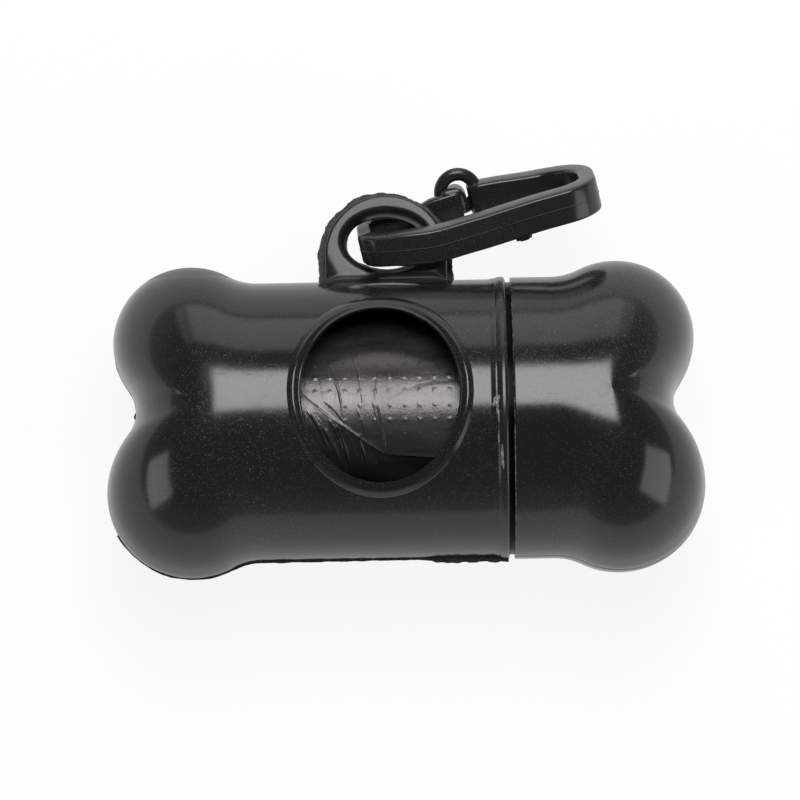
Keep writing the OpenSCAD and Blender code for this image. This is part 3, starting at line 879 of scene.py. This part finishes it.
def wound_roll():
    """The roll, fine behind the window, its ends showing the wound layers."""
    bm = bmesh.new()
    grid = []
    xs = ([ROLL_X0, ROLL_X0 + 0.15] + list(np.arange(ROLL_X0 + 1, FINE_X0, 1.0))
          + list(np.arange(FINE_X0, FINE_X1, 0.11)) + list(np.arange(9, ROLL_X1 - 0.5, 1.0))
          + [ROLL_X1 - 0.15, ROLL_X1])
    angles = list(np.arange(-FINE_ANGLE, FINE_ANGLE + 1, 0.6)) + list(np.arange(66, 300, 6))
    for x in xs:
        end = 0.12 if x in (xs[0], xs[-1]) else 0
        row = []
        for a in angles:
            r = ROLL_R - end - 0.14 + 0.05 * wobble(x * 0.25, a * 0.03, 2.0)
            if FINE_X0 < x < FINE_X1 and abs(a) <= FINE_ANGLE:
                r += 0.5 * emboss(x, a) + ridges(x, a, ROLL_RIDGES)
                r += 0.03 * wobble(x * 1.1, a * 0.12, 4.0)
            row.append(on_roll(x, a, r))
        grid.append(row + row[:1])
    rows = add_grid(bm, grid)
    for row, x, sign in ((rows[0], ROLL_X0, 1), (rows[-1], ROLL_X1, -1)):
        ends = [row]
        for k in range(1, END_RINGS + 1):
            r = ROLL_R - 0.15 - (ROLL_R - CORE_R) * k / END_RINGS
            dip = 0.16 * (k % 2) * sign + 0.25 * sign * abs(wobble(k * 0.7, x))
            ends.append([bm.verts.new(on_roll(x + dip, a, r)) for a in angles])
            ends[-1].append(ends[-1][0])
        for a, b in zip(ends, ends[1:]):
            for i in range(len(a) - 1):
                if len({a[i], a[i + 1], b[i + 1], b[i]}) == 4:
                    bm.faces.new((a[i], a[i + 1], b[i + 1], b[i]))
    return bm


# The wound roll takes the film's darker tone, painted as in shade.
add_piece("wound_bags", wound_roll(), film_in_painted_shade, "roll", ["bag_roll"])


def leading_bag():
    """The bag's loose end over the roll's front, its corner turned under along the fold."""
    bm = bmesh.new()
    rings = []
    for x in np.linspace(TAIL_LEFT, TAIL_RIGHT, 210):
        last = along_path(FREE_EDGE, x)
        second = along_path(SECOND_EDGE, x) + 0.5 * wobble(x * 1.3, 6.0)
        upper, lower = [], []
        for a in np.concatenate([np.arange(TAIL_TOP, 30, -1.5), np.linspace(30, last, 150)]):
            near_edge = math.exp(-((a - last) / 1.3) ** 2)
            lift = 0.02 + 0.10 * near_edge + 0.035 * (1 - ease(a, second - 2.0, second + 1.4))
            lift += 0.03 * wobble(x * 0.5, a * 0.05, 5.0)
            r = ROLL_R + lift + emboss(x, a) + ridges(x, a, BAG_RIDGES)
            upper.append(on_roll(x, a, r))
            lower.append(on_roll(x, a, ROLL_R + 0.02 * near_edge - 0.02))
        rings.append(upper + lower[::-1] + upper[:1])
    close_ends(bm, add_grid(bm, rings))
    return bm


# The leading bag takes the film's lighter tone, painted as lit.
tail = add_piece("leading_bag", leading_bag(), film_painted_lit, "roll", ["bag_tail"],
                 sharp=70)


# ---- clip ----

def band_section(half_t, half_w, rounding, seam):
    """Closed rounded-rectangle section (across the thickness, across the band)."""
    points = []
    for u, v, start in ((1, 1, 0), (-1, 1, 90), (-1, -1, 180), (1, -1, 270)):
        for a in np.linspace(start, start + 90, 6):
            a = math.radians(a)
            points.append((u * (half_t - rounding) + rounding * math.cos(a),
                           v * (half_w - rounding) + rounding * math.sin(a)))
    line = [(half_t, -0.12), (half_t + seam, -0.05), (half_t + seam, 0.05), (half_t, 0.12)]
    return points + line if seam else points


def sweep(stations, seam=0.0):
    """A band through (outer point, inner point, half width) stations in the clip's plane."""
    bm = bmesh.new()
    grid = []
    for outer, inner, half_w in stations:
        outer, inner = np.array(outer, float), np.array(inner, float)
        middle, across = (outer + inner) / 2, (outer - inner) / 2
        half_t = np.hypot(*across)
        rounding = min(0.5, half_t * 0.6)
        row = [(*(middle + across / half_t * u), v)
               for u, v in band_section(half_t, half_w, rounding, seam)]
        grid.append(row + row[:1])
    close_ends(bm, add_grid(bm, grid))
    return bm


def corner(outer_c, outer_r, inner_c, inner_r, start, end, steps, half_w):
    """Stations round a corner, on two circles at the same bearings."""
    return [((outer_c[0] + outer_r * math.cos(a), outer_c[1] + outer_r * math.sin(a)),
             (inner_c[0] + inner_r * math.cos(a), inner_c[1] + inner_r * math.sin(a)), half_w)
            for a in np.radians(np.linspace(start, end, steps + 1))]


def run(x0, x1, outer_y, inner_y, half_w, steps):
    """Stations along a straight stretch."""
    return [((x, outer_y), (x, inner_y), half_w) for x in np.linspace(x0, x1, steps + 1)]


# Half the band's width: in general, in the eye, and where the arm turns over the case
HALF_BAND, EYE_HALF_BAND, BEND_HALF_BAND = 2.45, 1.5, 1.15
strap_stations = (
    corner((22.6, 0.2), 8.7, (23.5, 0.2), 5.4, 86, 0, 26, HALF_BAND)
    + corner((26.3, -3.6), 5.0, (25.9, -2.3), 3.0, 0, -90, 22, HALF_BAND)
    + run(25.5, 2.6, -8.6, -5.3, HALF_BAND, 40)
    + [((1.6, -8.6), (1.6, -5.3), 2.38), ((0.6, -8.6), (0.6, -5.3), 2.28)]
    + corner((-1.0, -6.0), 2.6, (0.0, -3.7), 1.6, -90, -160, 14, 2.25)
    + [((-3.75, -6.2), (-1.62, -4.0), 2.1), ((-3.7, -5.4), (-1.62, -3.4), 1.9)]
    + [((-3.6, y), (-1.6, y + 0.4),
        EYE_HALF_BAND + (BEND_HALF_BAND - EYE_HALF_BAND) * ease(y, -0.5, 1.6))
       for y in np.linspace(-4.6, 4.4, 20)]
    + corner((-1.9, 5.3), 1.7, (-1.4, 5.1), 0.2, 180, 90, 8, BEND_HALF_BAND)
    + run(-1.2, 5.8, 7.0, 5.3, EYE_HALF_BAND, 8)
    + [((7.6, 7.0), (7.6, 5.3), 2.0), ((11.2, 7.0), (11.2, 5.3), 2.1),
       ((12.0, 6.9), (12.0, 5.4), 1.8)])

# How far the front and back runs sit along the band, by x
FRONT_LIFT = [(-4, 0.75), (-1.5, 0.6), (1.5, 0.2), (4, -0.05), (7.5, -0.4), (10, -0.15),
              (14.4, 0.05), (18.7, 0.4), (22, 0.65), (28.5, 0.9), (31, 0.8)]
BACK_LIFT = [(-4, 0.3), (5, 0.5), (11, 0.9), (16.5, 0.8), (20.8, 0.4), (24, 0.15), (28, 0.35),
             (31, 0.6)]


def sprung(bm):
    """Bends the clip across its band, as a soft moulding hangs: its left end and its back
    run sit further along the band than its middle, the arm in the eye stays where it is, and
    the front run bows in on the left."""
    for v in bm.verts:
        x, y, z = v.co
        back = ease(y, -6, 6)
        front_lift, back_lift = (
            sum(along_path(path, x + step) for step in (-1.5, -0.5, 0.5, 1.5)) / 4
            for path in (FRONT_LIFT, BACK_LIFT))
        in_eye = math.exp(-(y / 3.6) ** 4) * (1 - ease(x, 0, 3))
        v.co.z = z + ((1 - back) * front_lift + back * back_lift) * (1 - in_eye)
        v.co.y = y + 0.011 * max(0, 8 - x) ** 2 * (1 - ease(y, -5.6, -3.0))
    return bm


def peg(centre, r, length, steps=40):
    """A round peg along the clip's y, with a domed end."""
    bm = bmesh.new()
    rings = [(0, r), (length * 0.72, r), (length * 0.88, r * 0.9), (length * 0.97, r * 0.62),
             (length, r * 0.15)]
    grid = [[(centre[0] + q * math.cos(a), centre[1] + y, centre[2] + q * math.sin(a))
             for y, q in rings] for a in np.linspace(0, 2 * math.pi, steps, endpoint=False)]
    rows = add_grid(bm, grid, wrap=True)
    bm.faces.new([row[0] for row in rows[:-1]])
    bm.faces.new([row[-1] for row in rows[:-1]])
    return bm


def lump(centre, size, seed, rough):
    """A small rough lump, such as a gate nub."""
    bm = bmesh.new()
    bmesh.ops.create_icosphere(bm, subdivisions=4, radius=1)
    for v in bm.verts:
        p = [math.copysign(abs(c) ** 0.45, c) for c in v.co]
        shake = 1 + rough * wobble(*[2 * c + seed for c in v.co])
        v.co = [c0 + s * c * shake for c0, s, c in zip(centre, size, p)]
    return bm


RING_C, RING_R, RING_TUBE = (11.9, 8.0, 1.45), 3.5, 0.95


def ring():
    """The ring at the gate's end, which the peg goes through."""
    bm = bmesh.new()
    grid = []
    for a in np.linspace(0, 2 * math.pi, 120, endpoint=False):
        row = []
        for b in np.linspace(0, 2 * math.pi, 21):
            q = RING_R - RING_TUBE + RING_TUBE * math.cos(b)
            row.append((RING_C[0] + q * math.cos(a), RING_C[1] + 0.82 * RING_TUBE * math.sin(b),
                        RING_C[2] + q * math.sin(a)))
        grid.append(row)
    add_grid(bm, grid, wrap=True)
    return bm


strap = join(sweep(strap_stations, 0.08),
             peg((RING_C[0] - 0.5, 5.6, 0.8), 1.5, 5.0),
             lump((10.9, 6.2, 0.6), (1.6, 0.85, 1.9), 3.0, 0.08),
             lump((19.4, -7.4, -2.55), (1.1, 0.65, 0.5), 8.0, 0.3),
             lump((17.3, -8.58, 0.1), (0.75, 0.10, 0.85), 12.0, 0.9))
add_piece("clip_loop_strap", sprung(strap), clip_plastic, "clip", ["clip_strap"],
          place=CLIP)

gate_stations = ([((24.7, 8.68), (24.7, 5.60), HALF_BAND - 0.04),
                  ((24.1, 8.80), (24.1, 5.62), HALF_BAND - 0.03)]
                 + run(23.4, 14.6, 8.88, 5.61, HALF_BAND - 0.01, 16)
                 + [((13.6, 8.84), (13.6, 6.0), 2.3), ((13.2, 8.8), (13.2, 6.7), 2.0)])
add_piece("clip_loop_gate", sprung(join(sweep(gate_stations), ring())), clip_plastic,
          "gate", ["clip_gate"], place=CLIP)

# ---- floor, light and camera ----

VIEW_TILT = math.radians(9)
VIEW_ROLL = math.radians(1.05)
DISTANCE = 0.952
LENS, SENSOR = 300.0, 36.0
PIXELS_PER_M = 7000.0
LOOK_AT_PIXEL, MIDDLE_PIXEL = (405.0, 420.2), 400
FLOOR_GAP = 0.0002

right0 = Vector((1, 0, 0))
up0 = Vector((0, math.cos(VIEW_TILT), math.sin(VIEW_TILT)))
back = Vector((0, -math.sin(VIEW_TILT), math.cos(VIEW_TILT)))
right = right0 * math.cos(VIEW_ROLL) - up0 * math.sin(VIEW_ROLL)
up = right0 * math.sin(VIEW_ROLL) + up0 * math.cos(VIEW_ROLL)
axis_point = Vector((0, AXIS[1], AXIS[2])) * 0.001
aim = (axis_point - right * (LOOK_AT_PIXEL[0] - MIDDLE_PIXEL) / PIXELS_PER_M
       + up * (LOOK_AT_PIXEL[1] - MIDDLE_PIXEL) / PIXELS_PER_M)

camera_data = bpy.data.cameras.new("camera")
camera_data.lens, camera_data.sensor_width = LENS, SENSOR
camera_data.clip_start, camera_data.clip_end = 0.05, 20
camera = show("camera", camera_data)
camera.matrix_world = facing(aim + back * DISTANCE, right, up, back)
bpy.context.scene.camera = camera


def softbox(name, tilt_up, tilt_right, distance, width, height, radiance):
    """An area lamp, seen from the object at these tilts in degrees from the view axis; its
    distance and size are in metres."""
    direction = (back + up * math.tan(math.radians(tilt_up))
                 + right * math.tan(math.radians(tilt_right))).normalized()
    data = bpy.data.lights.new(name, "AREA")
    data.shape, data.size, data.size_y = "RECTANGLE", width, height
    data.energy = radiance * math.pi * width * height
    across = up.cross(direction).normalized()
    show(name, data).matrix_world = facing(axis_point + direction * distance, across,
                                           direction.cross(across), direction)


softbox("softbox_top", 27.5, 3, 0.75, 0.34, 0.42, 6.6)
softbox("softbox_left", -43, -63.5, 0.75, 0.36, 0.44, 1.65)
softbox("softbox_right", -39, 62, 0.75, 0.52, 0.50, 1.6)
softbox("softbox_above", 78, 0, 0.8, 0.84, 0.50, 0.45)
softbox("softbox_above_middle", 78, 0, 0.78, 0.46, 0.44, 0.6)


def make_floor():
    """The table: white to the camera and in reflections, with the object's shadow on it."""
    mesh = bpy.data.meshes.new("floor")
    bm = bmesh.new()
    bmesh.ops.create_grid(bm, x_segments=24, y_segments=24, size=3)
    bm.to_mesh(mesh)
    bm.free()
    floor = show("floor", mesh)
    floor.location.z = -FLOOR_GAP
    made = new_material("white_table")
    made.nodes.clear()
    lit, pale, glow, both, dimmed = (made.nodes.new(kind) for kind in (
        "ShaderNodeBsdfDiffuse", "ShaderNodeBsdfDiffuse", "ShaderNodeEmission",
        "ShaderNodeAddShader", "ShaderNodeMapRange"))
    for node, tone in ((lit, 0.8), (pale, 0.16), (glow, 1.0)):
        made.feed(node.inputs["Color"], (tone,) * 3)
    rays = made.nodes.new("ShaderNodeLightPath").outputs
    for socket, value in (("To Min", 0.62), ("To Max", 0.88), ("Value", rays["Is Camera Ray"])):
        made.feed(dimmed.inputs[socket], value)
    made.feed(glow.inputs["Strength"], dimmed.outputs["Result"])
    made.feed(both.inputs[0], pale.outputs[0])
    made.feed(both.inputs[1], glow.outputs[0])
    seen = made.maths("MAXIMUM", rays["Is Camera Ray"], rays["Is Glossy Ray"])
    seen = made.maths("MAXIMUM", seen, rays["Is Transmission Ray"])
    made.choose(seen, lit, both, "ShaderNodeOutputMaterial")
    mesh.materials.append(made.owner)


def make_world():
    """White to the camera; a dark room that greys towards the horizon to everything else."""
    bpy.context.scene.world = bpy.data.worlds.new("studio")
    made = Shading(bpy.context.scene.world)
    made.nodes.clear()
    room, white = made.nodes.new("ShaderNodeBackground"), made.nodes.new("ShaderNodeBackground")
    tone = made.ramp(made.split("Generated")["Z"],
                     [(0.0, 0.30), (0.18, 0.22), (0.45, 0.10), (0.8, 0.05)])
    made.feed(room.inputs["Color"], tone)
    made.feed(white.inputs["Color"], (1, 1, 1))
    path = made.nodes.new("ShaderNodeLightPath")
    made.choose(path.outputs["Is Camera Ray"], room, white, "ShaderNodeOutputWorld")


make_floor()
make_world()
bpy.context.scene.view_settings.view_transform = "Standard"
